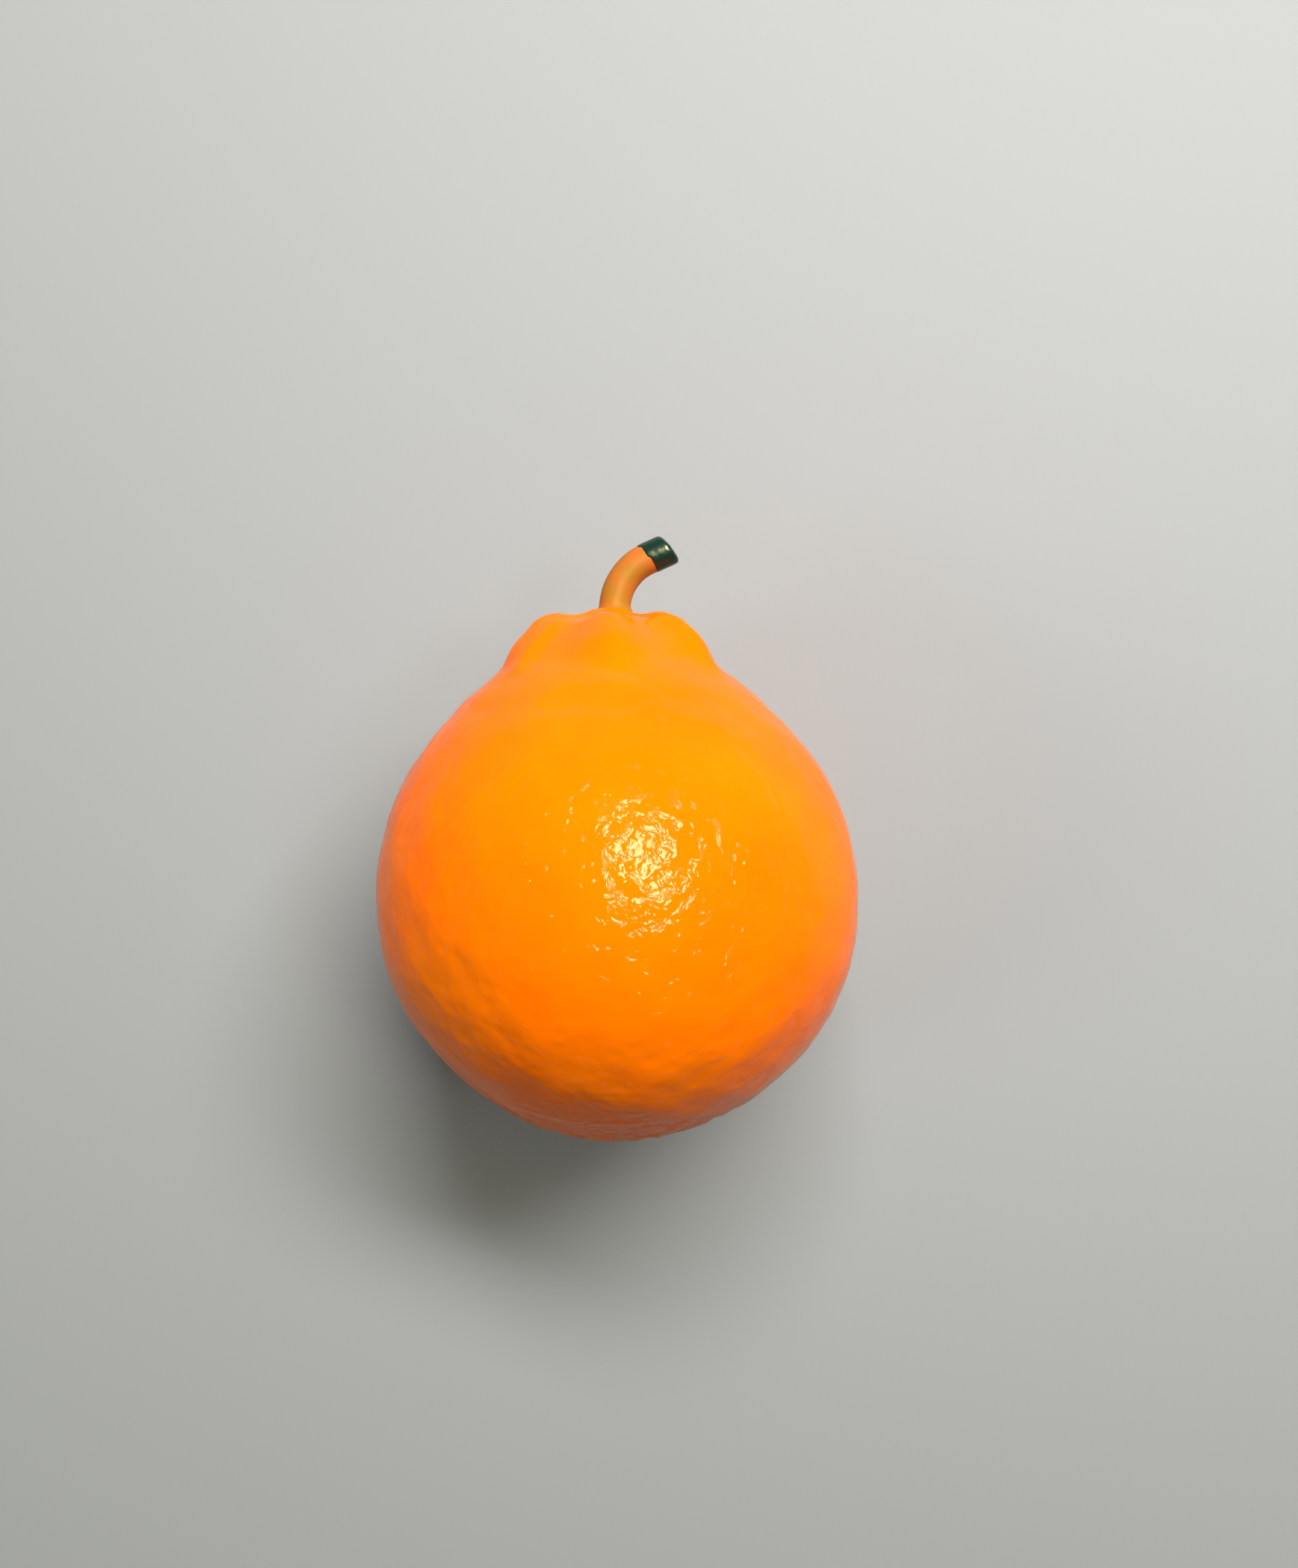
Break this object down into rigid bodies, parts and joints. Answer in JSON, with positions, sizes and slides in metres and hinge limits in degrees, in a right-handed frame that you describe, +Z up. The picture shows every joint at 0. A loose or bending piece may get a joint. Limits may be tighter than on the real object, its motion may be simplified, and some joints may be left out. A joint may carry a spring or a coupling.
{
  "type": "necked mandarin with its stem",
  "caption": "Round, glossy, pitted orange fruit with a ribbed neck and a short bent stem, lying on its side.",
  "frame": {"origin": "on the surface that the fruit lies on, in its flat spot, straight below its centre of mass", "axes": "+Z up; +Y along the fruit's own axis, towards the stem; +X to the side that the stem bends to"},
  "size_m": [0.0756, 0.095, 0.0754],
  "materials": {
    "peel": "glossy, finely pitted",
    "stem_skin": "satin",
    "stem_end": "glossy"
  },
  "bodies": {
    "root": {"fruit": "peel", "stem": "stem_skin", "stem_tip": "stem_end"}
  },
  "joints": []
}
